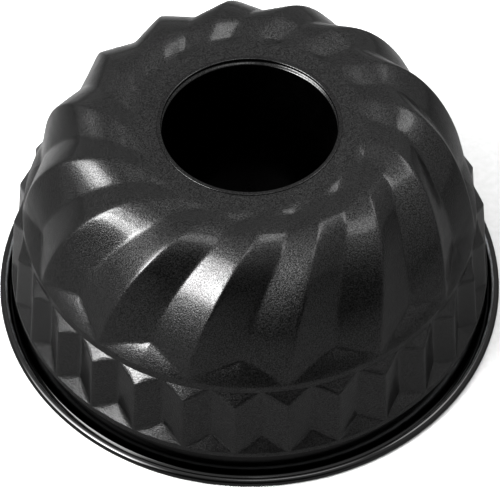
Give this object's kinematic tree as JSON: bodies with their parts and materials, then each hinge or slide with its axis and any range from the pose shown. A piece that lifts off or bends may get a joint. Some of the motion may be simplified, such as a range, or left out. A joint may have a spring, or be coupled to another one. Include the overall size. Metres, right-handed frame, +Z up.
{
  "type": "bundt pan",
  "caption": "Fluted ring cake pan with a pleated band, a curled rim and a tapered centre tube, shown mouth down.",
  "frame": {"origin": "centre of the plane that the rim stands on, with the pan mouth down", "axes": "+Z up along the pan's axis, from the open mouth to the closed fluted side; a flute's foot lies 8.8 degrees counter-clockwise of -Y"},
  "size_m": [0.2296, 0.2296, 0.1084],
  "materials": {
    "shell_coating": "satin black non-stick coating with a fine metallic grain",
    "tube_coating": "satin black non-stick coating",
    "wire": "drawn"
  },
  "bodies": {
    "root": {"fluted_shell": "shell_coating", "centre_tube": "tube_coating", "rim_wire": "wire"}
  },
  "joints": []
}
